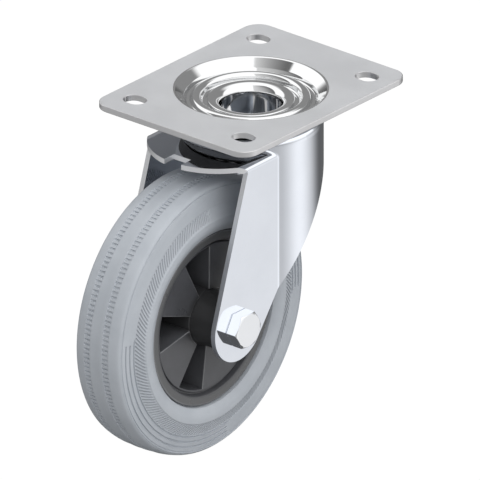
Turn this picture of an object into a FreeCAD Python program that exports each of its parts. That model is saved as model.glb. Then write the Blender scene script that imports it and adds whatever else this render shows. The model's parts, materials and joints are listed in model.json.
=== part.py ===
import FreeCAD, Part
import math
import os
import re
import Sketcher

# Swivel castor with a rectangular top plate, a pressed steel fork and a rubber tyred wheel.
# Millimetres. The origin is the centre of the plate's top face, on the swivel axis.
# X runs along the wheel's axle, Y along the travel direction (the wheel trails towards -Y), Z up.

doc = FreeCAD.newDocument("SwivelCastor")

# Driving dimensions

SIZES = [
    ("plate_length", 140.0, "top plate, along the travel direction"),
    ("plate_width", 110.0, "top plate, along the axle"),
    ("plate_thick", 3.6, "top plate, sheet thickness"),
    ("plate_corner", 10.0, "top plate, corner radius"),
    ("slot_pitch_y", 105.0, "fixing slots, spacing along the plate"),
    ("slot_pitch_x", 77.5, "fixing slots, spacing across the plate"),
    ("slot_length", 13.5, "fixing slots, end to end"),
    ("slot_width", 11.0, "fixing slots, width"),
    ("kingpin_bore", 16.75, "hollow kingpin, bore radius"),
    ("kingpin_wall", 3.25, "hollow kingpin, tube wall"),
    ("kingpin_flange", 4.0, "hollow kingpin, flange beyond the tube"),
    ("kingpin_flange_thick", 2.5, "hollow kingpin, flange thickness"),
    ("kingpin_mouth", 5.0, "hollow kingpin, flared mouth radius"),
    ("flange_drop", 5.8, "kingpin flange, depth under the plate's top face"),
    ("crest_drop", 3.7, "dish, depth of the ring over the ball track"),
    ("crest_half", 1.7, "dish, half width of that ring's flat"),
    ("crest_wall", 3.15, "dish, sheet left over the ball track"),
    ("groove_drop", 7.0, "dish, depth of the outer groove"),
    ("groove_out", 4.2, "dish, outer groove beyond the ball circle"),
    ("dish_out", 12.65, "dish, rim beyond the ball circle"),
    ("dish_round", 2.1, "dish, rounding of the rim"),
    ("dish_slope", 40.0, "dish, slope of its outer wall in degrees"),
    ("dish_foot_drop", 4.2, "dish, depth where its outer wall ends"),
    ("ball_radius", 3.5, "upper ball row, ball radius"),
    ("ball_step", 5.6, "upper ball circle beyond the lower one"),
    ("ball_count", 26.0, "upper ball row, number of balls"),
    ("low_ball_radius", 3.0, "lower ball row, ball radius"),
    ("low_ball_count", 24.0, "lower ball row, number of balls"),
    ("race_gap", 0.15, "play between a ball and each track"),
    ("sheet", 3.0, "fork, sheet thickness"),
    ("crown_land", 3.4, "fork head, crown's flat edge beyond the ball circle"),
    ("crown_bend", 6.3, "fork head, outer bend radius from crown to skirt"),
    ("crown_drop", 2.7, "fork head, crown under the upper balls' centres"),
    ("head_rise", 8.0, "fork head, rise of the crown over the front flange"),
    ("hole_play", 1.3, "fork head, play around the kingpin"),
    ("leg_bend", 4.0, "fork, outer bend radius from flange to leg"),
    ("leg_front", 44.5, "fork leg, front corner under the flange, from the swivel axis"),
    ("lobe_front", 67.1, "fork flange, foremost edge from the swivel axis"),
    ("notch_width", 12.0, "fork flange, width of the front notch"),
    ("notch_back", 58.2, "fork flange, back of the notch from the swivel axis"),
    ("skirt_side_drop", 3.1, "fork skirt, rear edge below the flange's top"),
    ("crease_round", 3.0, "fork, rounding between leg and skirt"),
    ("boss_radius", 20.0, "fork leg, rounded end about the axle"),
    ("trail", 52.5, "axle behind the swivel axis"),
    ("wheel_radius", 80.0, "wheel, outer radius"),
    ("wheel_gap", 10.8, "play between the wheel and the flange above it"),
    ("tyre_width", 40.0, "tyre, greatest width"),
    ("ring_depth", 0.4, "tyre, depth and half width of the ring lines on its sides"),
    ("rim_radius", 50.4, "wheel centre, radius where the tyre begins"),
    ("rim_width", 32.8, "wheel centre, width at the rim"),
    ("rim_well", 3.0, "wheel centre, depth of the groove that holds the tyre"),
    ("web_width", 28.0, "wheel centre, width over the web panels"),
    ("web_wall", 3.0, "wheel centre, panel thickness"),
    ("pocket_turn", 29.0, "wheel centre, angle that each pocket opens over in degrees"),
    ("web_out", 41.8, "wheel centre, outer radius of the pockets"),
    ("web_turn", 67.7, "wheel centre, angle of the first panel in degrees"),
    ("panel_count", 5.0, "wheel centre, panels on each side"),
    ("hub_length", 60.0, "wheel centre, hub length"),
    ("hub_wall", 2.2, "wheel centre, wall around the bearing"),
    ("cover_wall", 1.2, "bearing cover, seat beyond the roller track"),
    ("cover_length", 4.0, "bearing cover, length"),
    ("roller_radius", 1.7, "roller bearing, roller radius"),
    ("roller_length", 44.0, "roller bearing, roller length"),
    ("roller_count", 14.0, "roller bearing, number of rollers"),
    ("roller_play", 0.05, "roller bearing, play at each track"),
    ("cage_wall", 2.2, "roller cage, wall thickness"),
    ("tube_radius", 10.0, "axle tube, outer radius"),
    ("washer_thick", 2.1, "thrust washer, thickness"),
    ("washer_radius", 15.0, "thrust washer, outer radius"),
    ("hub_play", 0.1, "play between the hub and each thrust washer"),
    ("bolt_radius", 6.0, "axle bolt, shank radius"),
    ("bolt_play", 0.1, "play around the axle bolt"),
    ("hex_flats", 19.0, "axle bolt and nut, width across flats"),
    ("head_height", 7.5, "axle bolt, head height"),
    ("nut_height", 12.0, "lock nut, whole height"),
    ("nut_hex", 8.5, "lock nut, height of its hexagon"),
    ("bolt_tail", 2.0, "axle bolt, end beyond the lock nut"),
    ("insert_wall", 1.5, "lock nut, wall of the plastic ring"),
    ("seat_play", 0.05, "play of round parts seated in one another"),
]

sizes = doc.addObject("Spreadsheet::Sheet", "Sizes")
for row, (alias, number, note) in enumerate(SIZES, start=1):
    sizes.set("A%d" % row, alias)
    sizes.set("B%d" % row, str(number))
    sizes.set("C%d" % row, note)
    sizes.setAlias("B%d" % row, alias)
doc.recompute()

# Levels and radii worked out from the driving dimensions

KINGPIN = "(kingpin_bore + kingpin_wall)"
LOW_CIRCLE = "(%s + low_ball_radius + 1.5)" % KINGPIN
CIRCLE = "(%s + ball_step)" % LOW_CIRCLE
TRACK = "(ball_radius + race_gap)"
LOW_TRACK = "(low_ball_radius + race_gap)"
BALL_Z = "(0 - crest_drop - crest_wall - %s)" % TRACK
SEAT_Z = "(0 - flange_drop - kingpin_flange_thick)"
CROWN_Z = "(%s - crown_drop)" % BALL_Z
SHELF_Z = "(%s - 0.2)" % CROWN_Z
LOW_BALL_Z = "(%s - sheet - %s)" % (SHELF_Z, LOW_TRACK)
HEAD = "(%s + crown_land + crown_bend)" % CIRCLE
FLANGE_Z = "(%s - head_rise)" % CROWN_Z
RACE_TOP_Z = "(%s - low_ball_radius*0.35)" % LOW_BALL_Z
RACE_BASE_Z = "(%s - %s - sheet)" % (LOW_BALL_Z, LOW_TRACK)
AXLE_Z = "(%s - sheet - wheel_gap - wheel_radius)" % FLANGE_Z
LEG_IN = "(hub_length/2 + hub_play + washer_thick)"
LEG_OUT = "(%s + sheet)" % LEG_IN
ROLLER_TRACK = "(tube_radius + 2*roller_radius + 2*roller_play)"
HUB_OUT = "(%s + hub_wall)" % ROLLER_TRACK
COVER_OUT = "(%s + cover_wall)" % ROLLER_TRACK
WHEEL_CENTRE = ("0", "0 - trail", AXLE_Z)

FUNCTIONS = ("sqrt", "sin", "cos", "tan", "asin", "atan")


def bound(formula):
    """Give each alias in a formula the name of its sheet."""
    def named(match):
        word = match.group(0)
        return word if word in FUNCTIONS or word == "deg" else "Sizes." + word
    return re.sub(r"[a-z][a-z_]+[0-9]?", named, formula)


def value(formula):
    """The number that a formula gives with the sheet as it is."""
    result = sizes.evalExpression(bound(formula))
    return float(getattr(result, "Value", result))


# Sketches

def origin_feature(body, role):
    for feature in body.Origin.OriginFeatures:
        if feature.Role == role:
            return feature
    raise RuntimeError("no " + role)


def new_sketch(body, name, plane, lift="0", turn="0"):
    """An empty sketch on one of the body's own planes, lifted along its normal and turned."""
    drawing = body.newObject("Sketcher::SketchObject", name)
    drawing.AttachmentSupport = (origin_feature(body, plane), "")
    drawing.MapMode = "FlatFace"
    drawing.AttachmentOffset = FreeCAD.Placement(
        FreeCAD.Vector(0, 0, value(lift)), FreeCAD.Rotation(FreeCAD.Vector(0, 0, 1), value(turn)))
    if lift != "0":
        drawing.setExpression("AttachmentOffset.Base.z", bound(lift))
    if turn != "0":
        drawing.setExpression("AttachmentOffset.Rotation.Angle", bound(turn))
    return drawing


def arc_between(start, end, radius, left):
    """The short arc from start to end that turns left or right."""
    middle = (start + end) * 0.5
    chord = end - start
    normal = FreeCAD.Vector(-chord.y, chord.x, 0).normalize()
    height = math.sqrt(max(radius ** 2 - (chord.Length / 2) ** 2, 0))
    centre = middle + normal * (height if left else -height)
    first, last = (start, end) if left else (end, start)
    circle = Part.Circle(centre, FreeCAD.Vector(0, 0, 1), radius)
    return Part.ArcOfCircle(
        circle,
        math.atan2(first.y - centre.y, first.x - centre.x),
        math.atan2(last.y - centre.y, last.x - centre.x))


def draw_outline(drawing, points):
    """Closed outline. A point is (x, y), or (x, y, turn, radius) where an arc leaves it."""
    places = [FreeCAD.Vector(value(point[0]), value(point[1]), 0) for point in points]
    begins = []
    ends = []
    for index, point in enumerate(points):
        start = places[index]
        end = places[(index + 1) % len(places)]
        if len(point) == 2:
            edge = drawing.addGeometry(Part.LineSegment(start, end), False)
            begins.append((edge, 1))
            ends.append((edge, 2))
            continue
        left = point[2] == "left"
        edge = drawing.addGeometry(arc_between(start, end, value(point[3]), left), False)
        begins.append((edge, 1 if left else 2))
        ends.append((edge, 2 if left else 1))
        hold = drawing.addConstraint(Sketcher.Constraint("Radius", edge, value(point[3])))
        drawing.setExpression("Constraints[%d]" % hold, bound(point[3]))
    for index, point in enumerate(points):
        edge, end = begins[index]
        drawing.addConstraint(Sketcher.Constraint("Coincident", *ends[index - 1], edge, end))
        for kind, formula in (("DistanceX", point[0]), ("DistanceY", point[1])):
            hold = drawing.addConstraint(Sketcher.Constraint(kind, -1, 1, edge, end, value(formula)))
            drawing.setExpression("Constraints[%d]" % hold, bound(formula))


def draw_circle(drawing, x, y, radius):
    centre = FreeCAD.Vector(value(x), value(y), 0)
    edge = drawing.addGeometry(Part.Circle(centre, FreeCAD.Vector(0, 0, 1), value(radius)), False)
    for kind, formula in (("DistanceX", x), ("DistanceY", y)):
        hold = drawing.addConstraint(Sketcher.Constraint(kind, -1, 1, edge, 3, value(formula)))
        drawing.setExpression("Constraints[%d]" % hold, bound(formula))
    hold = drawing.addConstraint(Sketcher.Constraint("Radius", edge, value(radius)))
    drawing.setExpression("Constraints[%d]" % hold, bound(radius))


def across(points):
    """Points for x above 0, and the same ones mirrored behind them, as one symmetric outline."""
    mirrored = []
    for index in range(len(points) - 1, -1, -1):
        x, y = points[index][:2]
        before = points[index - 1] if index else ()
        mirrored.append(("0 - (%s)" % x, y) + tuple(before[2:]))
    return list(points) + mirrored


# Features

def new_body(label, place=("0", "0", "0")):
    body = doc.addObject("PartDesign::Body", label)
    body.Label = label
    body.Placement = FreeCAD.Placement(
        FreeCAD.Vector(*[value(formula) for formula in place]), FreeCAD.Rotation())
    for letter, formula in zip("xyz", place):
        if formula != "0":
            body.setExpression("Placement.Base." + letter, bound(formula))
    return body


def turned(body, name, plane, axis, points, cut=False):
    """A revolved solid or a revolved cut about one of the sketch's own axes."""
    drawing = new_sketch(body, name + "_outline", plane)
    draw_outline(drawing, points)
    kind = "PartDesign::Groove" if cut else "PartDesign::Revolution"
    feature = body.newObject(kind, name)
    feature.Profile = drawing
    feature.ReferenceAxis = (drawing, [axis])
    feature.Angle = 360
    feature.Refine = not cut
    return feature


def padded(body, name, drawing, length, middle=False, back=False):
    feature = body.newObject("PartDesign::Pad", name)
    feature.Profile = drawing
    feature.SideType = "Symmetric" if middle else "One side"
    feature.Reversed = back
    feature.Length = value(length)
    feature.setExpression("Length", bound(length))
    return feature


def pocketed(body, name, drawing, length, middle=False, back=False):
    feature = body.newObject("PartDesign::Pocket", name)
    feature.Profile = drawing
    feature.SideType = "Symmetric" if middle else "One side"
    feature.Reversed = back
    feature.Length = value(length)
    feature.setExpression("Length", bound(length))
    return feature


def repeated(body, name, feature, axis_role, count):
    pattern = body.newObject("PartDesign::PolarPattern", name)
    pattern.Originals = [feature]
    pattern.Axis = (origin_feature(body, axis_role), [""])
    pattern.Angle = 360
    pattern.Occurrences = int(value(count))
    pattern.setExpression("Occurrences", bound(count))
    body.Tip = pattern
    return pattern


def rounded(body, name, base, radius, wanted):
    """A fillet on the edges of the base that the test picks."""
    doc.recompute()
    picked = ["Edge%d" % number for number, edge in enumerate(base.Shape.Edges, start=1) if wanted(edge)]
    if not picked:
        raise RuntimeError("no edge for " + name)
    feature = body.newObject("PartDesign::Fillet", name)
    feature.Base = (base, picked)
    feature.Radius = value(radius)
    feature.setExpression("Radius", bound(radius))
    return feature


def offset_at(track, drop):
    """Horizontal reach of a ball track's arc at a height above or below its centre."""
    return "sqrt(%s*%s - (%s)*(%s))" % (track, track, drop, drop)


def hexagon():
    """Corners of the hexagon of bolt head and nut, with two of them on the horizontal axis."""
    return [("hex_flats/sqrt(3)*cos(%d)" % (60 * k), "hex_flats/sqrt(3)*sin(%d)" % (60 * k)) for k in range(6)]


# Top plate: pressed sheet with a dished centre whose underside is the upper ball track

def underside():
    """The dish's underside from its outer wall to the ridge outside the ball track."""
    ridge = "(0 - groove_drop - plate_thick)"
    return [
        ("%s + dish_out - 1.4" % CIRCLE, "0 - plate_thick"),
        ("%s + 8.5" % CIRCLE, "0 - plate_thick - 3"),
        ("%s + 6.8" % CIRCLE, "%s + 1.4" % ridge),
        ("%s + 5.3" % CIRCLE, ridge),
    ]


def make_top_plate():
    body = new_body("top_plate")
    blank = new_sketch(body, "blank_outline", "XY_Plane")
    side = "plate_width/2"
    end = "plate_length/2"
    inner_side = "(plate_width/2 - plate_corner)"
    inner_end = "(plate_length/2 - plate_corner)"
    arc = ("left", "plate_corner")
    draw_outline(blank, [
        ("0 - " + inner_side, "0 - " + end),
        (inner_side, "0 - " + end) + arc,
        (side, "0 - " + inner_end),
        (side, inner_end) + arc,
        (inner_side, end),
        ("0 - " + inner_side, end) + arc,
        ("0 - " + side, inner_end),
        ("0 - " + side, "0 - " + inner_end) + arc,
    ])
    draw_circle(blank, "0", "0", "%s + dish_out + 1" % CIRCLE)
    padded(body, "blank", blank, "plate_thick", back=True)

    round_in = "(%s + dish_out - dish_round*sin(dish_slope))" % CIRCLE
    round_drop = "(dish_round*(1 - cos(dish_slope)))"
    foot = "(%s - (dish_foot_drop - %s)/tan(dish_slope))" % (round_in, round_drop)
    groove = "(%s + groove_out)" % CIRCLE
    seat_edge = "(%s + kingpin_flange + 1.2)" % KINGPIN
    lip = "0.2"
    profile = [
        ("%s + dish_out + 1.2" % CIRCLE, "0 - plate_thick"),
        ("%s + dish_out + 1.2" % CIRCLE, "0"),
        ("%s + dish_out" % CIRCLE, "0", "left", "dish_round"),
        (round_in, "0 - " + round_drop),
        (foot, "0 - dish_foot_drop", "left", "1.2"),
        (foot + " - 0.9", "0 - dish_foot_drop - 0.9"),
        (groove + " + 1.25", "1.1 - groove_drop", "right", "1.27"),
        (groove + " - 1.25", "1.1 - groove_drop"),
        ("%s + crest_half + 0.65" % CIRCLE, "0 - crest_drop - 0.7", "left", "0.8"),
        ("%s + crest_half" % CIRCLE, "0 - crest_drop"),
        ("%s - crest_half" % CIRCLE, "0 - crest_drop", "left", "0.8"),
        ("%s - crest_half - 0.65" % CIRCLE, "0 - crest_drop - 0.7"),
        (seat_edge + " + 2.1", "%s + 2.1" % SEAT_Z, "right", "2.1"),
        (seat_edge, SEAT_Z),
        ("%s + seat_play" % KINGPIN, SEAT_Z),
        ("%s + seat_play" % KINGPIN, "%s - plate_thick" % SEAT_Z),
        (seat_edge + " + 0.4", "%s - plate_thick" % SEAT_Z),
        ("%s - %s" % (CIRCLE, offset_at(TRACK, lip)), "%s + %s" % (BALL_Z, lip), "right", TRACK),
        ("%s + %s" % (CIRCLE, offset_at(TRACK, lip)), "%s + %s" % (BALL_Z, lip)),
        ("%s + groove_out" % CIRCLE, "0 - groove_drop - plate_thick"),
    ] + underside()[::-1]
    dish = turned(body, "dish", "XZ_Plane", "V_Axis", profile)

    slots = new_sketch(body, "slot_outlines", "XY_Plane")
    reach = "(slot_length - slot_width)/2"
    # A hair more than the half circle's own radius, which leaves the solver one clear answer
    slot_end = "(slot_width/2 + 0.0001)"
    for x_sign in ("", "0 - "):
        for y_sign in ("", "0 - "):
            x = "(%sslot_pitch_x/2)" % x_sign
            y = "(%sslot_pitch_y/2)" % y_sign
            draw_outline(slots, [
                ("%s - %s" % (x, reach), "%s - slot_width/2" % y),
                ("%s + %s" % (x, reach), "%s - slot_width/2" % y, "left", slot_end),
                ("%s + %s" % (x, reach), "%s + slot_width/2" % y),
                ("%s - %s" % (x, reach), "%s + slot_width/2" % y, "left", slot_end),
            ])
    pocketed(body, "slots", slots, "plate_thick + 1")
    return body


# Hollow kingpin: a flanged tube through plate and fork head, flared under the lower race

def make_kingpin():
    body = new_body("kingpin")
    flange = "(%s + kingpin_flange)" % KINGPIN
    flare = "(%s + 3.4)" % KINGPIN
    turned(body, "kingpin_turned", "XZ_Plane", "V_Axis", [
        ("kingpin_bore", "0 - flange_drop - kingpin_mouth", "right", "kingpin_mouth"),
        ("kingpin_bore + kingpin_mouth", "0 - flange_drop"),
        (flange + " - 0.8", "0 - flange_drop", "right", "0.8"),
        (flange, "0 - flange_drop - 0.8"),
        (flange, SEAT_Z),
        (KINGPIN, SEAT_Z),
        (KINGPIN, RACE_BASE_Z),
        (flare, RACE_BASE_Z),
        (flare, RACE_BASE_Z + " - 0.7", "right", "2.2"),
        (flare + " - 2.2", RACE_BASE_Z + " - 2.9"),
        ("kingpin_bore + 3", RACE_BASE_Z + " - 2.9", "left", "3.6"),
        ("kingpin_bore", RACE_BASE_Z + " + 0.5"),
    ])
    return body


# Lower race: a hardened ring on the kingpin that carries the lower balls

def make_lower_race():
    body = new_body("lower_race")
    drop = "(low_ball_radius*0.35)"
    inner = "%s + seat_play" % KINGPIN
    outer = "(%s + low_ball_radius + 0.9)" % LOW_CIRCLE
    turned(body, "race_turned", "XZ_Plane", "V_Axis", [
        (inner, RACE_TOP_Z),
        ("%s - %s" % (LOW_CIRCLE, offset_at(LOW_TRACK, drop)), RACE_TOP_Z, "left", LOW_TRACK),
        ("%s + %s" % (LOW_CIRCLE, offset_at(LOW_TRACK, drop)), RACE_TOP_Z),
        (outer, RACE_TOP_Z),
        (outer, RACE_BASE_Z + " + 0.8"),
        (outer + " - 0.8", RACE_BASE_Z),
        (inner, RACE_BASE_Z),
    ])
    return body


# Dust ring: a soft ring on the dish's underside that covers the gap down to the fork head

def make_dust_ring():
    body = new_body("dust_ring")
    wall, shoulder, ridge_out, ridge_in = underside()
    turned(body, "ring_turned", "XZ_Plane", "V_Axis", [
        ridge_in,
        ridge_out,
        shoulder,
        (shoulder[0] + " + 1", shoulder[1] + " - 0.6"),
        ("%s + 8.4" % CIRCLE, "%s + 2.6" % CROWN_Z),
        ("%s + 7.2" % CIRCLE, "%s - 0.2" % CROWN_Z),
        ("%s + 6.2" % CIRCLE, "%s + 0.1" % CROWN_Z),
        ("%s + 6.0" % CIRCLE, "%s + 1.4" % CROWN_Z),
    ])
    return body


# Fork: a round head with both ball tracks, a skirt behind, two legs and a notched front flange

def make_fork():
    body = new_body("fork")
    base = "(%s - wheel_radius - boss_radius)" % AXLE_Z
    bed_z = "(%s - sheet)" % FLANGE_Z
    bend_z = "(%s - leg_bend)" % FLANGE_Z
    skirt_in = "(%s - sheet)" % HEAD
    front = "(lobe_front + trail + boss_radius)"

    # The legs' block ends inside the round head
    block_back = "(0 - 0.7*sqrt(%s*%s - %s*%s))" % (HEAD, HEAD, LEG_OUT, LEG_OUT)
    block = new_sketch(body, "block_outline", "XY_Plane", lift=FLANGE_Z)
    draw_outline(block, [
        ("0 - " + LEG_OUT, "0 - " + front),
        (LEG_OUT, "0 - " + front),
        (LEG_OUT, block_back),
        ("0 - " + LEG_OUT, block_back),
    ])
    pad = padded(body, "block", block, "%s - %s" % (FLANGE_Z, base), back=True)
    top = value(FLANGE_Z)
    bends = rounded(body, "leg_bends", pad, "leg_bend", lambda edge: (
        abs(edge.CenterOfMass.z - top) < 0.01 and abs(abs(edge.CenterOfMass.x) - value(LEG_OUT)) < 0.01))

    shelf_in = "%s + hole_play" % KINGPIN
    centre_gap = "(%s - %s)" % (BALL_Z, CROWN_Z)
    shelf_gap = "(%s - %s)" % (BALL_Z, SHELF_Z)
    outer_arc_in = "(%s - crown_bend)" % HEAD
    turned(body, "head", "XZ_Plane", "V_Axis", [
        ("0", base),
        (HEAD, base),
        (HEAD, "%s - crown_bend" % CROWN_Z, "left", "crown_bend"),
        (outer_arc_in, CROWN_Z),
        ("%s + %s" % (CIRCLE, offset_at(TRACK, centre_gap)), CROWN_Z, "right", TRACK),
        ("%s - %s" % (CIRCLE, offset_at(TRACK, shelf_gap)), SHELF_Z),
        ("0", SHELF_Z),
    ])

    tunnel = new_sketch(body, "tunnel_outline", "XY_Plane", lift=base)
    tunnel_back = "sqrt(%s*%s - %s*%s)" % (skirt_in, skirt_in, LEG_IN, LEG_IN)
    draw_outline(tunnel, [
        ("0 - " + LEG_IN, "0 - %s - 10" % front),
        (LEG_IN, "0 - %s - 10" % front),
        (LEG_IN, "0 - " + tunnel_back),
        ("0 - " + LEG_IN, "0 - " + tunnel_back),
    ])
    pocketed(body, "tunnel", tunnel, "%s - %s" % (bed_z, base), back=True)

    low_lip = "(low_ball_radius*0.48)"
    low_out = "(%s + %s)" % (LOW_CIRCLE, offset_at(LOW_TRACK, low_lip))
    low_in = "(%s - low_ball_radius*0.75)" % LOW_CIRCLE
    low_in_z = "(%s + %s)" % (LOW_BALL_Z, offset_at(LOW_TRACK, "low_ball_radius*0.75"))
    turned(body, "cup", "XZ_Plane", "V_Axis", [
        ("0", "%s - 1" % base),
        (skirt_in, "%s - 1" % base),
        (skirt_in, "%s - crown_bend" % CROWN_Z, "left", "crown_bend - sheet"),
        (outer_arc_in, "%s - sheet" % CROWN_Z),
        ("%s + 0.6" % CIRCLE, "%s - ball_radius - race_gap - sheet" % BALL_Z),
        (low_out + " + 0.7", "%s + %s" % (LOW_BALL_Z, low_lip)),
        (low_out, "%s + %s" % (LOW_BALL_Z, low_lip), "left", LOW_TRACK),
        (low_in, low_in_z),
        (shelf_in, low_in_z),
        (shelf_in, "%s + 1" % SHELF_Z),
        ("0", "%s + 1" % SHELF_Z),
    ], cut=True)

    # Side view: front and rear edges of the legs are tangents of the round leg end
    rear_y = HEAD
    rear_z = "(%s - skirt_side_drop)" % FLANGE_Z
    rear_dy = "(%s + trail)" % HEAD
    rear_dz = "(%s - %s)" % (rear_z, AXLE_Z)
    rear_turn = "(atan(%s/%s) + asin(boss_radius/sqrt(%s*%s + %s*%s)))" % (
        rear_dz, rear_dy, rear_dy, rear_dy, rear_dz, rear_dz)
    front_dy = "(trail - leg_front)"
    front_dz = "(%s - %s)" % (bend_z, AXLE_Z)
    front_turn = "(atan(%s/%s) + asin(boss_radius/sqrt(%s*%s + %s*%s)))" % (
        front_dy, front_dz, front_dy, front_dy, front_dz, front_dz)
    side = new_sketch(body, "side_outline", "YZ_Plane")
    draw_outline(side, [
        ("0 - %s - 20" % front, bend_z),
        ("0 - leg_front", bend_z),
        ("0 - trail - boss_radius*cos(%s)" % front_turn,
         "%s + boss_radius*sin(%s)" % (AXLE_Z, front_turn), "left", "boss_radius"),
        ("0 - trail + boss_radius*sin(%s)" % rear_turn,
         "%s - boss_radius*cos(%s)" % (AXLE_Z, rear_turn)),
        ("%s + 2" % rear_y, "%s + 2*tan(%s)" % (rear_z, rear_turn)),
        ("%s + 2" % rear_y, "%s - 5" % base),
        ("0 - %s - 20" % front, "%s - 5" % base),
    ])
    pocketed(body, "side_cut", side, "4*%s" % HEAD, middle=True)

    # Plan view: the flange ends in an arc through both legs' front corners
    lobe = new_sketch(body, "lobe_outline", "XY_Plane", lift="%s + 1" % FLANGE_Z)
    rise = "(lobe_front - leg_front)"
    lobe_radius = "((%s*%s + %s*%s)/(2*%s))" % (LEG_OUT, LEG_OUT, rise, rise, rise)
    wide = "(%s + 10)" % LEG_OUT
    draw_outline(lobe, [
        ("0 - " + LEG_OUT, "0 - leg_front", "left", lobe_radius),
        (LEG_OUT, "0 - leg_front"),
        (wide, "0 - leg_front"),
        (wide, "0 - %s - 20" % front),
        ("0 - " + wide, "0 - %s - 20" % front),
        ("0 - " + wide, "0 - leg_front"),
    ])
    pocketed(body, "lobe_cut", lobe, "leg_bend + 1")

    notch = new_sketch(body, "notch_outline", "XY_Plane", lift="%s + 1" % FLANGE_Z)
    draw_outline(notch, [
        ("0 - notch_width/2", "0 - lobe_front - 5"),
        ("notch_width/2", "0 - lobe_front - 5"),
        ("notch_width/2", "0 - notch_back"),
        ("0 - notch_width/2", "0 - notch_back"),
    ])
    pocketed(body, "notch", notch, "sheet + 2")

    holes = new_sketch(body, "axle_hole", "YZ_Plane")
    draw_circle(holes, "0 - trail", AXLE_Z, "bolt_radius + bolt_play")
    last = pocketed(body, "axle_holes", holes, "3*%s" % LEG_OUT, middle=True)

    def crease(edge):
        """The two upright edges outside, where leg and skirt meet."""
        box = edge.BoundBox
        upright = box.ZLength > 30 and box.XLength < 0.01 and box.YLength < 0.01
        return upright and abs(abs(edge.CenterOfMass.x) - value(LEG_OUT)) < 0.01
    rounded(body, "creases", last, "crease_round", crease)
    return body


# Axle: bolt, nut with its plastic ring, tube and thrust washers

def hex_chamfer(body, name, face, inward):
    """Cut the hexagon's corners back to a cone at one end face."""
    circle = "(hex_flats/2 - 0.2)"
    big = "(hex_flats/sqrt(3) + 1)"
    back = "%s %s (%s - %s)*0.5774" % (face, inward, big, circle)
    turned(body, name, "XY_Plane", "H_Axis", [(face, circle), (face, big), (back, big)], cut=True)


def make_axle_bolt():
    body = new_body("axle_bolt", WHEEL_CENTRE)
    head = new_sketch(body, "head_outline", "YZ_Plane", lift=LEG_OUT)
    draw_outline(head, hexagon())
    padded(body, "hex_head", head, "head_height")
    hex_chamfer(body, "head_chamfer", "(%s + head_height)" % LEG_OUT, "-")
    tail = "(0 - %s - nut_height - bolt_tail)" % LEG_OUT
    turned(body, "shank", "XY_Plane", "H_Axis", [
        (LEG_OUT + " + 1", "0"),
        (LEG_OUT + " + 1", "bolt_radius"),
        (tail + " + 1", "bolt_radius"),
        (tail, "bolt_radius - 1"),
        (tail, "0"),
    ])
    return body


def make_lock_nut():
    body = new_body("lock_nut", WHEEL_CENTRE)
    seat = "(0 - %s)" % LEG_OUT
    top = "(%s - nut_hex)" % seat
    end = "(%s - nut_height)" % seat
    bore = "bolt_radius + seat_play"
    ring = "(bolt_radius + insert_wall)"
    hexed = new_sketch(body, "nut_outline", "YZ_Plane", lift=seat)
    draw_outline(hexed, hexagon())
    padded(body, "nut_hexagon", hexed, "nut_hex", back=True)
    hex_chamfer(body, "nut_chamfer", top, "+")
    hex_chamfer(body, "nut_seat_chamfer", seat, "-")
    turned(body, "collar", "XY_Plane", "H_Axis", [
        (top + " + 1", "0"),
        (top + " + 1", "hex_flats/2 - 0.6"),
        (end + " + 1", "hex_flats/2 - 0.6", "left", "1"),
        (end, "hex_flats/2 - 1.6"),
        (end, "0"),
    ])
    turned(body, "nut_bore", "XY_Plane", "H_Axis", [
        (seat + " + 1", "0"),
        (seat + " + 1", bore),
        (top, bore),
        (top, ring),
        (end + " - 1", ring),
        (end + " - 1", "0"),
    ], cut=True)
    return body


def make_nut_insert():
    body = new_body("nut_insert", WHEEL_CENTRE)
    top = "(0 - %s - nut_hex)" % LEG_OUT
    end = "(0 - %s - nut_height + 0.6)" % LEG_OUT
    turned(body, "insert_turned", "XY_Plane", "H_Axis", [
        (top, "bolt_radius + seat_play"),
        (top, "bolt_radius + insert_wall - seat_play"),
        (end, "bolt_radius + insert_wall - seat_play"),
        (end, "bolt_radius + seat_play"),
    ])
    return body


def make_axle_tube():
    body = new_body("axle_tube", WHEEL_CENTRE)
    turned(body, "tube_turned", "XY_Plane", "H_Axis", across([
        (LEG_IN, "bolt_radius + bolt_play"),
        (LEG_IN, "tube_radius - 0.4"),
        (LEG_IN + " - 0.4", "tube_radius"),
    ]))
    return body


def make_washer(label, side):
    body = new_body(label, WHEEL_CENTRE)
    outer_face = "%s*%s" % (side, LEG_IN)
    inner_face = "%s*(%s - washer_thick)" % (side, LEG_IN)
    turned(body, label + "_turned", "XY_Plane", "H_Axis", [
        (outer_face, "tube_radius + seat_play"),
        (outer_face, "washer_radius"),
        (inner_face, "washer_radius"),
        (inner_face, "tube_radius + seat_play"),
    ])
    return body


# Wheel centre: moulded hub, meander web and rim

def wedge(inner, outer):
    """A pocket between two of the web's panels, from the hub out to the rim."""
    def corner(radius, sign):
        return "%s*cos(pocket_turn/2)" % radius, "%s*%s*sin(pocket_turn/2)" % (sign, radius)
    inner_low, outer_low = corner(inner, "-1"), corner(outer, "-1")
    outer_high, inner_high = corner(outer, "1"), corner(inner, "1")
    return [inner_low, outer_low + ("left", outer), outer_high, inner_high + ("right", inner)]


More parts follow.
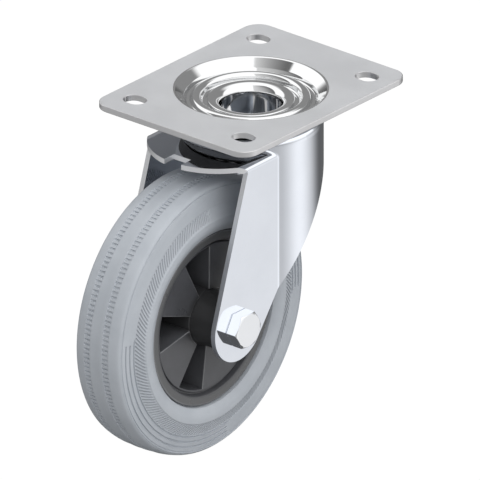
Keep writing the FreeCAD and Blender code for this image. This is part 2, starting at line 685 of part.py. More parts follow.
def make_wheel_centre():
    body = new_body("wheel_centre", WHEEL_CENTRE)
    hub_end = "(hub_length/2)"
    track_end = "(hub_length/2 - cover_length)"
    web = "(web_width/2)"
    rim = "(rim_width/2)"
    turned(body, "centre_turned", "XY_Plane", "H_Axis", across([
        (track_end, ROLLER_TRACK),
        (track_end, COVER_OUT),
        (hub_end, COVER_OUT),
        (hub_end, HUB_OUT + " - 0.2"),
        (web, HUB_OUT),
        (web, "web_out + 1.2"),
        (web + " + 0.8", "web_out + 1.8"),
        (rim + " - 0.6", "rim_radius - 2.4"),
        (rim, "rim_radius - 1.8"),
        (rim, "rim_radius"),
        (rim + " - 4", "rim_radius"),
        (rim + " - 6.5", "rim_radius - rim_well"),
    ]))
    inner = "(%s + 0.4)" % HUB_OUT
    depth = "web_width - web_wall"
    for name, face, turn, back in (
            ("near_pocket", web, "web_turn + 180/panel_count", False),
            ("far_pocket", "(0 - %s)" % web, "web_turn", True)):
        drawing = new_sketch(body, name + "_outline", "YZ_Plane", lift=face, turn=turn)
        draw_outline(drawing, wedge(inner, "web_out"))
        pocket = pocketed(body, name, drawing, depth, back=back)
        repeated(body, name + "s", pocket, "X_Axis", "panel_count")
    return body


# Tyre: solid rubber, with two tread grooves and fine ring lines on its sides.
# The shares give each level on the side as a part of the way from the rim to the tread.

BULGE_SHARE = 0.24
HATCH_BASE_SHARE = 0.34
HATCH_TOP_SHARE = 0.51
RING_SHARES = (0.55, 0.665, 0.77, 0.865)
TREAD_SHARE = 0.895


def level_at(share):
    return "(rim_radius + %s*(wheel_radius - rim_radius))" % share


def make_tyre():
    body = new_body("tyre", WHEEL_CENTRE)
    rim = "(rim_width/2)"
    wall = "(wheel_radius - rim_radius)"
    crown = "wheel_radius"
    top = level_at(TREAD_SHARE)
    low = level_at(HATCH_TOP_SHARE)

    def side_x(level):
        return "(tyre_width/2 - 4.4 + (%s - (%s))*0.14)" % (top, level)
    points = [
        (rim + " - 6.5", "rim_radius - rim_well"),
        (rim + " - 4", "rim_radius"),
        (rim, "rim_radius", "right", "0.37*" + wall),
        ("tyre_width/2", level_at(BULGE_SHARE), "left", "0.47*" + wall),
        (side_x(low) + " + 1.2", level_at(HATCH_BASE_SHARE)),
        (side_x(low), low),
    ]
    for share in RING_SHARES:
        middle = level_at(share)
        points.append((side_x(middle + " - ring_depth"), middle + " - ring_depth"))
        points.append((side_x(middle) + " - ring_depth", middle))
        points.append((side_x(middle + " + ring_depth"), middle + " + ring_depth"))
    points += [
        (side_x(top), top, "left", "0.22*" + wall),
        ("tyre_width/2 - 9.4", crown + " - 1"),
        ("7.6", crown + " - 0.2"),
        ("7.0", crown + " - 1.4"),
        ("5.6", crown + " - 1.4"),
        ("5.0", crown),
    ]
    turned(body, "tyre_turned", "XY_Plane", "H_Axis", across(points))
    return body


# Roller bearing: cage, rollers and the covers that keep them in the hub

def make_bearing_cover(label, side):
    body = new_body(label, WHEEL_CENTRE)
    outer_face = "%s*(hub_length/2)" % side
    inner_face = "%s*(hub_length/2 - cover_length)" % side
    turned(body, label + "_turned", "XY_Plane", "H_Axis", [
        (outer_face, "tube_radius + 0.3"),
        (outer_face, COVER_OUT + " - seat_play"),
        (inner_face, COVER_OUT + " - seat_play"),
        (inner_face, "tube_radius + 0.3"),
    ])
    return body


def make_roller_cage():
    body = new_body("roller_cage", WHEEL_CENTRE)
    middle = "(tube_radius + roller_play + roller_radius)"
    half = "(hub_length/2 - cover_length - 0.2)"
    turned(body, "cage_turned", "XY_Plane", "H_Axis", across([
        (half, "%s - cage_wall/2" % middle),
        (half, "%s + cage_wall/2" % middle),
    ]))
    window = new_sketch(body, "window_outline", "XY_Plane")
    draw_outline(window, [
        ("0 - roller_length/2 - 0.2", "0 - roller_radius - 0.15"),
        ("roller_length/2 + 0.2", "0 - roller_radius - 0.15"),
        ("roller_length/2 + 0.2", "roller_radius + 0.15"),
        ("0 - roller_length/2 - 0.2", "roller_radius + 0.15"),
    ])
    pocket = pocketed(body, "window", window, "2*" + middle, back=True)
    repeated(body, "windows", pocket, "X_Axis", "roller_count")
    return body


# Rows of equal pieces

def make_row(label, kind, count, circle, centre, axis, fill):
    """Equal balls or rollers on a circle, as one group of separate solids."""
    pieces = []
    number = int(value(count))
    for index in range(number):
        piece = doc.addObject(kind, "%s_%02d" % (label, index + 1))
        fill(piece)
        angle = "%d*360/%d" % (index, number)
        spread = {
            "z": ("(%s)*cos(%s)" % (circle, angle), "(%s)*sin(%s)" % (circle, angle), "0"),
            "x": ("0", "(%s)*sin(%s)" % (circle, angle), "(%s)*cos(%s)" % (circle, angle)),
        }[axis]
        for letter, start, step in zip("xyz", centre, spread):
            piece.setExpression("Placement.Base." + letter, bound("%s + %s" % (start, step)))
        pieces.append(piece)
    group = doc.addObject("Part::Compound", label)
    group.Links = pieces
    group.Label = label
    return group


def make_balls(label, count, radius, circle, level):
    def fill(ball):
        ball.Radius = value(radius)
        ball.setExpression("Radius", bound(radius))
    return make_row(label, "Part::Sphere", count, circle, ("0", "0", level), "z", fill)


def make_bearing_rollers():
    def fill(roller):
        roller.Radius = value("roller_radius")
        roller.setExpression("Radius", bound("roller_radius"))
        roller.Height = value("roller_length")
        roller.setExpression("Height", bound("roller_length"))
        roller.Placement = FreeCAD.Placement(
            FreeCAD.Vector(0, 0, 0), FreeCAD.Rotation(FreeCAD.Vector(0, 1, 0), 90))
    circle = "tube_radius + roller_play + roller_radius"
    # The first roller stands in the cage's first window, above the axle
    start = ("0 - roller_length/2", "0 - trail", AXLE_Z)
    return make_row("bearing_rollers", "Part::Cylinder", "roller_count", circle, start, "x", fill)


parts = [
    make_top_plate(),
    make_kingpin(),
    make_lower_race(),
    make_dust_ring(),
    make_balls("upper_balls", "ball_count", "ball_radius", CIRCLE, BALL_Z),
    make_balls("lower_balls", "low_ball_count", "low_ball_radius", LOW_CIRCLE, LOW_BALL_Z),
    make_fork(),
    make_axle_bolt(),
    make_lock_nut(),
    make_nut_insert(),
    make_axle_tube(),
    make_washer("washer_right", "1"),
    make_washer("washer_left", "-1"),
    make_wheel_centre(),
    make_tyre(),
    make_bearing_cover("bearing_cover_right", "1"),
    make_bearing_cover("bearing_cover_left", "-1"),
    make_roller_cage(),
    make_bearing_rollers(),
]
doc.recompute()

for item in doc.Objects:
    if "Invalid" in item.State or "Error" in item.State:
        raise RuntimeError("%s failed: %s" % (item.Name, item.State))

os.makedirs("parts", exist_ok=True)
for part in parts:
    if part.Shape.isNull() or not part.Shape.isValid():
        raise RuntimeError(part.Label + " has no valid shape")
for part in parts:
    part.Shape.exportStep("parts/%s.step" % part.Label)
    print("%-22s solids %2d volume %10.1f" % (part.Label, len(part.Shape.Solids), part.Shape.Volume))
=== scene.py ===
import bpy
import bmesh
import json
import math
from mathutils import Matrix, Vector
from mathutils.geometry import tessellate_polygon

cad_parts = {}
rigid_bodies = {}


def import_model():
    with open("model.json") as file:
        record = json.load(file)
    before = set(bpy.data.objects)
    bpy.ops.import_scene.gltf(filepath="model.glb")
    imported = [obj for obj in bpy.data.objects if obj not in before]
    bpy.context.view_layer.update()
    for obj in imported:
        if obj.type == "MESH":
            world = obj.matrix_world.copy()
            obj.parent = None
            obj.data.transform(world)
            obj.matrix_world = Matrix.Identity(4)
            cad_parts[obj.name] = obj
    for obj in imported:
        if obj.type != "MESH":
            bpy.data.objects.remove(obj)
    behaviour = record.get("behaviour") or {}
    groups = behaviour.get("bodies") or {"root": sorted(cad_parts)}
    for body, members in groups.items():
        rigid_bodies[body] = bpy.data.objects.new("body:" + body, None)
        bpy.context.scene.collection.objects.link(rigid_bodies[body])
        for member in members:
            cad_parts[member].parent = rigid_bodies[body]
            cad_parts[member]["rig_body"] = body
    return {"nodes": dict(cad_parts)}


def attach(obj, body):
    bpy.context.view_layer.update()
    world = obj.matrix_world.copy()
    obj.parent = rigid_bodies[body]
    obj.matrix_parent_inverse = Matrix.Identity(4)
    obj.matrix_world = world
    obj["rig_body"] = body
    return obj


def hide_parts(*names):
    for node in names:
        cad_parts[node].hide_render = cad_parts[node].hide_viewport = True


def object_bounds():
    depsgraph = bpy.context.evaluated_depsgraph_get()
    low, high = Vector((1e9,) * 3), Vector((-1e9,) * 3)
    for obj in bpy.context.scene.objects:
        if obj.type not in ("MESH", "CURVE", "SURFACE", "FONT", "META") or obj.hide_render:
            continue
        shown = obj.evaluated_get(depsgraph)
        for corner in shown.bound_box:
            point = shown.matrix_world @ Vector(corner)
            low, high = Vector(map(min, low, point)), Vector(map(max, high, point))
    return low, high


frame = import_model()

cad_low, cad_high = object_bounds()
nodes = frame["nodes"]
MM = 0.001

# Places and sizes that the CAD model fixes, in millimetres

AXLE_Y = -52.5
AXLE_Z = -115.0
WHEEL_RADIUS = 80.0
TYRE_HALF = 20.0
RIM_RADIUS = 50.4
RIM_HALF = 16.4
LEG_X = (32.15, 35.25)
LEG_TOP = -30.0
FLANGE_Z = (-24.4, -21.0)
FLANGE_BACK = -30.0
BOLT_SEAT = 35.2
PLATE_THICK = 3.6
PLATE_HALF = (55.0, 70.0)
PLATE_CORNER = 10.0
SLOT_PLACE = (38.75, 52.5)
SLOT_HALF = (6.75, 5.5)

# The photograph's parallel view: angles in degrees, and its middle from the origin in millimetres

AZIMUTH = 40.0
ELEVATION = 24.4
PIXELS_PER_MM = 1.829
PICTURE_SIDE = 480
VIEW_RIGHT = -6.04
VIEW_DOWN = 83.11

# Where one finish passes into another, and where painted shade and painted light begin, in metres

# Painted shade: the fork's neck under the plate's front is painted dark grey above this height and within this
# front band
NECK_SHADE_HEIGHT = (-0.0209, -0.0204)
NECK_SHADE_FRONT = (-0.036, -0.022)
# Painted light: the fork's cut edges brighten towards the plate over this height
CUT_LIGHT_HEIGHT = (-0.09, -0.045)
DISH_EDGE = (0.0424, 0.0430)
# Painted shade on the hub, painted light out on the rim and a painted shadow in the seam to the tyre
HUB_SHADE_EDGE = (0.015, 0.022)
RIM_LIGHT_EDGE = (0.0445, 0.0465)
SEAM_SHADE_EDGE = (0.0501, 0.0503)
BUMP_DEPTH = 0.0002


# Node trees

def feed(links, socket, value):
    """Set an input to a number or colour, or link an output to it."""
    if isinstance(value, bpy.types.NodeSocket):
        links.new(value, socket)
    else:
        socket.default_value = value


def sum_node(tree, kind, first, second):
    """The output of a math node with two numbers or outputs."""
    node = tree.nodes.new("ShaderNodeMath")
    node.operation = kind
    feed(tree.links, node.inputs[0], first)
    feed(tree.links, node.inputs[1], second)
    return node.outputs[0]


def range_node(tree, source, low, high, first, second, kind="SMOOTHSTEP"):
    """A number that goes from first to second while the source goes from low to high."""
    node = tree.nodes.new("ShaderNodeMapRange")
    node.interpolation_type = kind
    for name, number in (("From Min", low), ("From Max", high), ("To Min", first), ("To Max", second)):
        feed(tree.links, node.inputs[name], number)
    tree.links.new(source, node.inputs["Value"])
    return node.outputs["Result"]


class Tree:
    """A material's node tree, with short calls for the nodes used here."""

    def __init__(self, name):
        self.material = bpy.data.materials.new(name)
        self.material.use_nodes = True
        self.nodes = self.material.node_tree.nodes
        self.links = self.material.node_tree.links
        self.shader = self.nodes["Principled BSDF"]
        self.coords = self.nodes.new("ShaderNodeTexCoord").outputs["Object"]

    def link(self, source, target):
        self.links.new(source, target)

    def value(self, name, number):
        self.shader.inputs[name].default_value = number

    def noise(self, scale, detail, rough, seed=0.0):
        """A noise output, moved aside by its seed."""
        node = self.nodes.new("ShaderNodeTexNoise")
        node.inputs["Scale"].default_value = scale
        node.inputs["Detail"].default_value = detail
        node.inputs["Roughness"].default_value = rough
        source = self.coords
        if seed:
            mapping = self.nodes.new("ShaderNodeMapping")
            mapping.inputs["Location"].default_value = (seed, seed * 0.7, seed * 0.3)
            self.link(source, mapping.inputs["Vector"])
            source = mapping.outputs["Vector"]
        self.link(source, node.inputs["Vector"])
        return node.outputs["Fac"]

    def ramp(self, source, low, high, out_low=0.0, out_high=1.0):
        return range_node(self, source, low, high, out_low, out_high)

    def mix(self, factor, first, second):
        """A colour between two, by a factor output."""
        node = self.nodes.new("ShaderNodeMix")
        node.data_type = "RGBA"
        self.link(factor, node.inputs["Factor"])
        for socket, colour in ((node.inputs[6], first), (node.inputs[7], second)):
            feed(self.links, socket, colour + (1.0,) if isinstance(colour, tuple) else colour)
        return node.outputs[2]

    def blend(self, factor, first, second):
        """A number between two, by a factor output."""
        node = self.nodes.new("ShaderNodeMix")
        self.link(factor, node.inputs["Factor"])
        feed(self.links, node.inputs[2], first)
        feed(self.links, node.inputs[3], second)
        return node.outputs[0]

    def sums(self, kind, first, second):
        return sum_node(self, kind, first, second)

    def bump(self, height, strength):
        """The shader's normal roughened by a height output."""
        node = self.nodes.new("ShaderNodeBump")
        node.inputs["Strength"].default_value = strength
        node.inputs["Distance"].default_value = BUMP_DEPTH
        self.link(height, node.inputs["Height"])
        self.link(node.outputs["Normal"], self.shader.inputs["Normal"])

    def base(self):
        """The output that the base colour has now."""
        return self.shader.inputs["Base Color"].links[0].from_socket

    def paint(self, colour):
        self.link(colour, self.shader.inputs["Base Color"])

    def place(self):
        """The object's own x, y and z, in metres."""
        apart = self.nodes.new("ShaderNodeSeparateXYZ")
        self.link(self.coords, apart.inputs[0])
        return apart.outputs

    def distance(self, axes, centre):
        """Distance from a line along the third axis, in metres."""
        place = self.place()
        squares = []
        for axis, middle in zip(axes, centre):
            apart = self.sums("SUBTRACT", place[axis], middle)
            squares.append(self.sums("MULTIPLY", apart, apart))
        return self.sums("SQRT", self.sums("ADD", *squares), 0.0)


def clouds(tree):
    """The slow change of tone and gloss over zinc."""
    return tree.noise(38.0, 5.0, 0.6, seed=0.31)


def grain(tree):
    """The very fine grain of zinc."""
    return tree.noise(900.0, 3.0, 0.6)


def zinc(name, low, high, rough_low, rough_high, bump=0.02):
    """Zinc plated steel: cloudy tone, patchy gloss and a very fine grain."""
    tree = Tree(name)
    tree.value("Metallic", 1.0)
    cloud = clouds(tree)
    tree.paint(tree.mix(tree.ramp(cloud, 0.3, 0.7), low, high))
    tree.link(tree.ramp(cloud, 0.25, 0.75, rough_low, rough_high), tree.shader.inputs["Roughness"])
    tree.bump(grain(tree), bump)
    return tree


def plastic(name, low, high, rough, bump, scale=1400.0):
    """Moulded plastic or rubber: fine skin, slight tone changes."""
    tree = Tree(name)
    cloud = tree.noise(60.0, 4.0, 0.6, seed=0.17)
    tree.paint(tree.mix(tree.ramp(cloud, 0.3, 0.7), low, high))
    tree.link(tree.ramp(cloud, 0.2, 0.8, rough - 0.04, rough + 0.05), tree.shader.inputs["Roughness"])
    tree.bump(tree.noise(scale, 2.0, 0.5), bump)
    return tree


def fork_finish():
    """Bright bluish zinc, with painted shade that darkens the neck under the plate's front."""
    tree = zinc("fork_zinc", (0.79, 0.82, 0.88), (0.82, 0.85, 0.91), 0.035, 0.055, 0.003)
    place = tree.place()
    above = tree.ramp(place[2], *NECK_SHADE_HEIGHT)
    front = tree.ramp(place[1], *NECK_SHADE_FRONT, 1.0, 0.0)
    # Painted shade: dark grey paint on the neck under the plate's front, where shade falls
    tree.paint(tree.mix(tree.sums("MULTIPLY", above, front), tree.base(), (0.29, 0.29, 0.29)))
    return tree


def cut_finish():
    """The dull cut edges of the fork's sheet, with painted light that brightens them towards the plate."""
    tree = zinc("cut_zinc", (0.60, 0.62, 0.66), (0.66, 0.68, 0.72), 0.42, 0.5, 0.02)
    above = tree.ramp(tree.place()[2], *CUT_LIGHT_HEIGHT)
    # Painted light: the cut edges turn near white towards the plate
    tree.paint(tree.mix(above, tree.base(), (0.92, 0.93, 0.95)))
    return tree


fork_zinc = fork_finish()
cut_zinc = cut_finish()
bolt_zinc = zinc("bolt_zinc", (0.885, 0.90, 0.925), (0.915, 0.93, 0.955), 0.04, 0.06, 0.003)
plate_cut = zinc("plate_cut", (0.70, 0.70, 0.71), (0.76, 0.76, 0.77), 0.4, 0.48, 0.02)
dish_zinc = zinc("dish_zinc", (0.80, 0.805, 0.81), (0.84, 0.845, 0.85), 0.07, 0.1, 0.01)


def pressed_plate():
    """Satin zinc on the flat, and the dish's bright pressed and polished zinc inside its rim."""
    tree = Tree("pressed_zinc")
    cloud = clouds(tree)
    facing = tree.nodes.new("ShaderNodeSeparateXYZ")
    tree.link(tree.nodes.new("ShaderNodeNewGeometry").outputs["Normal"], facing.inputs[0])
    inside = tree.sums("MULTIPLY", tree.ramp(tree.distance((0, 1), (0, 0)), *DISH_EDGE, 1.0, 0.0),
                       tree.ramp(facing.outputs[2], -0.1, 0.05))
    flat = tree.mix(tree.ramp(cloud, 0.3, 0.7), (0.72, 0.73, 0.75), (0.75, 0.76, 0.78))
    tree.paint(tree.mix(inside, flat, (0.82, 0.825, 0.83)))
    satin = tree.ramp(cloud, 0.25, 0.75, 0.5, 0.56)
    tree.link(tree.blend(inside, satin, 0.06), tree.shader.inputs["Roughness"])
    tree.link(tree.blend(inside, 0.7, 1.0), tree.shader.inputs["Metallic"])
    tree.bump(grain(tree), 0.015)
    return tree


pressed_zinc = pressed_plate()
track_steel = zinc("track_steel", (0.5, 0.51, 0.53), (0.58, 0.59, 0.6), 0.2, 0.3)
ball_steel = zinc("ball_steel", (0.78, 0.78, 0.8), (0.82, 0.82, 0.84), 0.05, 0.08, 0.005)
greased_steel = zinc("greased_steel", (0.16, 0.155, 0.145), (0.22, 0.21, 0.2), 0.25, 0.4)
black_rubber = plastic("black_rubber", (0.02, 0.02, 0.02), (0.03, 0.03, 0.03), 0.6, 0.1)
insert_nylon = plastic("insert_nylon", (0.08, 0.17, 0.42), (0.1, 0.2, 0.48), 0.45, 0.05)


def wheel_finish():
    """Moulded black plastic, with painted shade darkest on the hub, painted light paler out on the rim and a
    painted shadow black in the seam to the tyre.
    """
    tree = plastic("wheel_plastic", (0.064, 0.066, 0.072), (0.080, 0.082, 0.090), 0.3, 0.04)
    radius = tree.distance((1, 2), (AXLE_Y * MM, AXLE_Z * MM))
    # Painted shade: darkest on the hub
    inner = tree.mix(tree.ramp(radius, *HUB_SHADE_EDGE), (0.035, 0.0355, 0.037), tree.base())
    # Painted light: paler out on the rim
    outer = tree.mix(tree.ramp(radius, *RIM_LIGHT_EDGE), inner, (0.096, 0.098, 0.101))
    # Painted shadow: black in the seam to the tyre
    tree.paint(tree.mix(tree.ramp(radius, *SEAM_SHADE_EDGE), outer, (0.02, 0.02, 0.022)))
    return tree


wheel_plastic = wheel_finish()
# Painted highlight: a pale plastic on edge roundings that stands for their glints
edge_highlight_plastic = plastic("edge_highlight_plastic", (0.15, 0.153, 0.16), (0.2, 0.204, 0.212), 0.24, 0.04)
cover_plastic = plastic("cover_plastic", (0.045, 0.045, 0.05), (0.055, 0.055, 0.06), 0.42, 0.1)
cage_plastic = plastic("cage_plastic", (0.7, 0.68, 0.6), (0.76, 0.74, 0.67), 0.4, 0.05)
# Painted shade: a darker rubber for the hatch grooves
groove_shade_rubber = plastic("groove_shade_rubber", (0.35, 0.375, 0.41), (0.39, 0.415, 0.45), 0.6, 0.1, 1100.0)
grey_rubber = plastic("grey_rubber", (0.43, 0.46, 0.50), (0.47, 0.50, 0.54), 0.44, 0.12, 1100.0)

FINISH = {
    "top_plate": pressed_zinc, "kingpin": dish_zinc, "lower_race": track_steel, "dust_ring": black_rubber,
    "upper_balls": greased_steel, "lower_balls": greased_steel, "fork": fork_zinc, "axle_bolt": bolt_zinc,
    "lock_nut": bolt_zinc, "nut_insert": insert_nylon, "axle_tube": track_steel,
    "washer_right": bolt_zinc, "washer_left": bolt_zinc, "wheel_centre": wheel_plastic,
    "tyre": grey_rubber, "bearing_cover_right": cover_plastic, "bearing_cover_left": cover_plastic,
    "roller_cage": cage_plastic, "bearing_rollers": ball_steel,
}
for name, tree in FINISH.items():
    mesh = nodes[name].data
    mesh.materials.clear()
    mesh.materials.append(tree.material)


# Pieces that copy the CAD shape

def add_piece(name, mesh, body, node):
    """An object with this mesh that rides on a body and stands for a CAD node."""
    item = bpy.data.objects.new(name, mesh)
    bpy.context.scene.collection.objects.link(item)
    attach(item, body)
    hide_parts(node)
    return item


# The bend from which an edge is rounded, in degrees, and how much more the broad ones are
SHARP_BEND = 30.0
BROAD = 3.0


def refined(node, width, broad=None):
    """A copy of a CAD node with joined faces and finely rounded edges, which stands for the node.

    The edges that broad picks by their middle get three times the rounding of the others.
    """
    source = nodes[node]
    mesh = source.data.copy()
    work = bmesh.new()
    work.from_mesh(mesh)
    bmesh.ops.remove_doubles(work, verts=work.verts, dist=0.000002)
    bmesh.ops.dissolve_limit(
        work, angle_limit=math.radians(0.5), verts=work.verts, edges=work.edges, use_dissolve_boundaries=False)
    weight = work.edges.layers.float.new("bevel_weight_edge")
    for face in work.faces:
        face.smooth = True
    for edge in work.edges:
        edge.smooth = True
        if edge.calc_face_angle(0.0) > math.radians(SHARP_BEND):
            middle = (edge.verts[0].co + edge.verts[1].co) / 2 / MM
            edge[weight] = 1.0 if broad and broad(middle) else 1.0 / BROAD
    work.to_mesh(mesh)
    work.free()
    if "custom_normal" in mesh.attributes:
        mesh.attributes.remove(mesh.attributes["custom_normal"])
    mesh.name = node + "_shown"
    item = add_piece(node + "_shown", mesh, source["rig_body"], node)
    bevel = item.modifiers.new("edges", "BEVEL")
    bevel.width = BROAD * width * MM
    bevel.segments = 3
    bevel.limit_method = "WEIGHT"
    bevel.use_clamp_overlap = False
    flat = item.modifiers.new("flat_faces", "WEIGHTED_NORMAL")
    flat.mode = "FACE_AREA_WITH_ANGLE"
    flat.weight = 90
    flat.keep_sharp = True
    return item


def head_base(place):
    """The bolt head's edges against the leg."""
    return abs(place.x - BOLT_SEAT) < 0.05


def fork():
    """The fork's own shape, with a duller finish on the cut edges of its sheet."""
    mesh = nodes["fork"].data.copy()
    mesh.name = "fork_shown"
    mesh.materials.append(cut_zinc.material)
    for face in mesh.polygons:
        place = face.center / MM
        on_leg = LEG_X[0] < abs(place.x) < LEG_X[1] and abs(face.normal.x) < 0.1 and place.z < LEG_TOP
        on_flange = FLANGE_Z[0] < place.z < FLANGE_Z[1] and abs(face.normal.z) < 0.1 and place.y < FLANGE_BACK
        if on_leg or on_flange:
            face.material_index = 1
    add_piece("fork_shown", mesh, "fork_body", "fork")


# The top plate

DISH_OUT = 44.0
DISH_TURNS = 240
ARC_STEP = 5.0


def smooth_path(corners):
    """A line through rounded corners (across, up, rounding), as places with their directions."""
    path = []
    for index, (across, up, rounding) in enumerate(corners):
        here = Vector((across, up))
        before = (here - Vector(corners[index - 1][:2])).normalized() if index else None
        after = (Vector(corners[index + 1][:2]) - here).normalized() if index + 1 < len(corners) else None
        if not before or not after:
            path.append((here, before or after))
            continue
        turn = math.atan2(before.x * after.y - before.y * after.x, before.dot(after))
        side = math.copysign(1.0, turn)
        start = here - before * rounding * math.tan(abs(turn) / 2)
        centre = start + Vector((-before.y, before.x)) * rounding * side
        steps = max(2, math.ceil(math.degrees(abs(turn)) / ARC_STEP))
        for step in range(steps + 1):
            angle = turn * step / steps
            heading = Vector((
                before.x * math.cos(angle) - before.y * math.sin(angle),
                before.x * math.sin(angle) + before.y * math.cos(angle)))
            path.append((centre + Vector((heading.y, -heading.x)) * rounding * side, heading))
    return path


def rounded_loop(half_x, half_y, radius, centre, pieces):
    """An outline with round corners, as places with their outward directions."""
    loop = []
    for quarter in range(4):
        sign_x = (1, -1, -1, 1)[quarter]
        sign_y = (1, 1, -1, -1)[quarter]
        for step in range(pieces + 1):
            angle = math.radians(90.0 * (quarter + step / pieces))
            out = Vector((math.cos(angle), math.sin(angle)))
            middle = Vector((centre[0] + sign_x * (half_x - radius), centre[1] + sign_y * (half_y - radius)))
            loop.append((middle + out * radius, out))
    return loop


def top_plate():
    """Pressed plate: flat sheet with rounded edges and slots, and a smooth turned dish."""
    dish = smooth_path([
        (DISH_OUT, 0, 0), (41.99, 0, 2.1), (36.75, -4.4, 1.5), (35.45, -7.15, 1.4), (33.25, -7.15, 1.3),
        (32.35, -3.7, 2.5), (27.95, -3.7, 2.3), (26.9, -8.3, 1.6), (20.05, -8.3, 0.2), (20.05, -11.9, 0.2),
        (25.9, -11.9, 0.5), (26.45, -10.3, 0.3), (26.45, -6.85, 3.65), (33.75, -6.85, 3.65),
        (33.75, -10.4, 0.3), (34.2, -10.6, 0.2), (35.4, -10.6, 0.6), (36.9, -9.2, 0.6), (38.6, -6.6, 0.8),
        (41.35, -PLATE_THICK, 0.8), (DISH_OUT, -PLATE_THICK, 0)])
    turns = DISH_TURNS
    vertices = []
    normals = []
    faces = []
    cut_faces = []
    for place, heading in dish:
        for index in range(turns):
            angle = 2 * math.pi * index / turns
            along = Vector((math.cos(angle), math.sin(angle)))
            vertices.append((along.x * place.x, along.y * place.x, place.y))
            normals.append((along.x * heading.y, along.y * heading.y, -heading.x))
    for row in range(len(dish) - 1):
        for index in range(turns):
            after = (index + 1) % turns
            faces.append((row * turns + index, row * turns + after,
                          (row + 1) * turns + after, (row + 1) * turns + index))
    top_loops = [list(range(turns))]
    low_loops = [list(range((len(dish) - 1) * turns, len(dish) * turns))]

    def wall(loop, rounding, inside):
        """The sheet's cut wall along an outline, with both its edges rounded."""
        sign = -1.0 if inside else 1.0
        drops = []
        for step in range(5):
            angle = math.radians(22.5 * step)
            drops.append((rounding * (1 - math.sin(angle)), rounding * (1 - math.cos(angle)), angle))
        rows = [(back, -drop, angle) for back, drop, angle in drops]
        rows += [(back, drop - PLATE_THICK, math.pi - angle) for back, drop, angle in reversed(drops)]
        first = len(vertices)
        for back, level, angle in rows:
            for place, out in loop:
                vertices.append((place.x - out.x * back * sign, place.y - out.y * back * sign, level))
                normals.append((out.x * math.sin(angle) * sign, out.y * math.sin(angle) * sign, math.cos(angle)))
        count = len(loop)
        for row in range(len(rows) - 1):
            for index in range(count):
                after = (index + 1) % count
                a, b = first + row * count + index, first + row * count + after
                c, d = b + count, a + count
                cut_faces.append(len(faces))
                faces.append((a, b, c, d) if inside else (a, d, c, b))
        top_loops.append(list(range(first, first + count)))
        last = first + (len(rows) - 1) * count
        low_loops.append(list(range(last, last + count)))

    wall(rounded_loop(*PLATE_HALF, PLATE_CORNER, (0, 0), 24), 0.5, False)
    for x in (-SLOT_PLACE[0], SLOT_PLACE[0]):
        for y in (-SLOT_PLACE[1], SLOT_PLACE[1]):
            wall(rounded_loop(*SLOT_HALF, SLOT_HALF[1], (x, y), 12), 0.3, True)
    for loops, up in ((top_loops, 1.0), (low_loops, -1.0)):
        order = [loops[1], loops[0]] + loops[2:]
        flat = [number for loop in order for number in loop]
        for triangle in tessellate_polygon([[Vector(vertices[number]) for number in loop] for loop in order]):
            a, b, c = (Vector(vertices[flat[corner]]) for corner in triangle)
            corners = [flat[corner] for corner in triangle]
            if (b - a).cross(c - a).z * up < 0:
                corners.reverse()
            faces.append(corners)
    mesh = bpy.data.meshes.new("top_plate_shown")
    mesh.from_pydata([Vector(place) * MM for place in vertices], [], faces)
    mesh.shade_smooth()
    mesh.normals_split_custom_set_from_vertices(normals)
    mesh.materials.append(pressed_zinc.material)
    mesh.materials.append(plate_cut.material)
    for number in cut_faces:
        mesh.polygons[number].material_index = 1
    add_piece("top_plate_shown", mesh, "mount", "top_plate")


# The wheel centre

POCKETS = 5
WEB_HALF = 14.0
POCKET_HALF = 14.5
POCKET_IN = 16.1
POCKET_OUT = 41.8
POCKET_DEPTH = 25.0
NEAR_POCKET = 103.7
FAR_POCKET = 67.7
EDGE_ROUND = 0.5
HUB_OUT = 15.7


def pocket_drop(radius, degrees, first):
    """How far the web's face lies back at a place: a rounded edge, a steep wall and a flat bottom."""
    pitch = 360.0 / POCKETS
    turn = abs((degrees - first + pitch / 2) % pitch - pitch / 2)
    outside = max(math.radians(turn - POCKET_HALF) * radius, POCKET_IN - radius, radius - POCKET_OUT)
    if outside >= EDGE_ROUND:
        return 0.0
    if outside >= 0:
        return EDGE_ROUND - math.sqrt(EDGE_ROUND ** 2 - (EDGE_ROUND - outside) ** 2)
    steps = ((0.0, EDGE_ROUND), (0.12, POCKET_DEPTH - 0.8), (0.4, POCKET_DEPTH - 0.2), (1.0, POCKET_DEPTH))
    for (low, drop), (high, deeper) in zip(steps, steps[1:]):
        if -outside <= high:
            return drop + (deeper - drop) * (-outside - low) / (high - low)
    return POCKET_DEPTH


def wheel_columns():
    """Angles round the wheel with a shift in millimetres, close together at the pockets' sides."""
    columns = []
    for number in range(2 * POCKETS):
        middle = FAR_POCKET + 180.0 / POCKETS * number
        for shift in (-0.9, -0.5, -0.3, -0.14, -0.04, 0.0, 0.12, 0.4, 1.0):
            columns.append((middle - POCKET_HALF, shift))
        for share in (-0.66, -0.33, 0.0, 0.33, 0.66):
            columns.append((middle + share * POCKET_HALF, 0.0))
        for shift in (-1.0, -0.4, -0.12, 0.0, 0.04, 0.14, 0.3, 0.5, 0.9):
            columns.append((middle + POCKET_HALF, shift))
    return columns


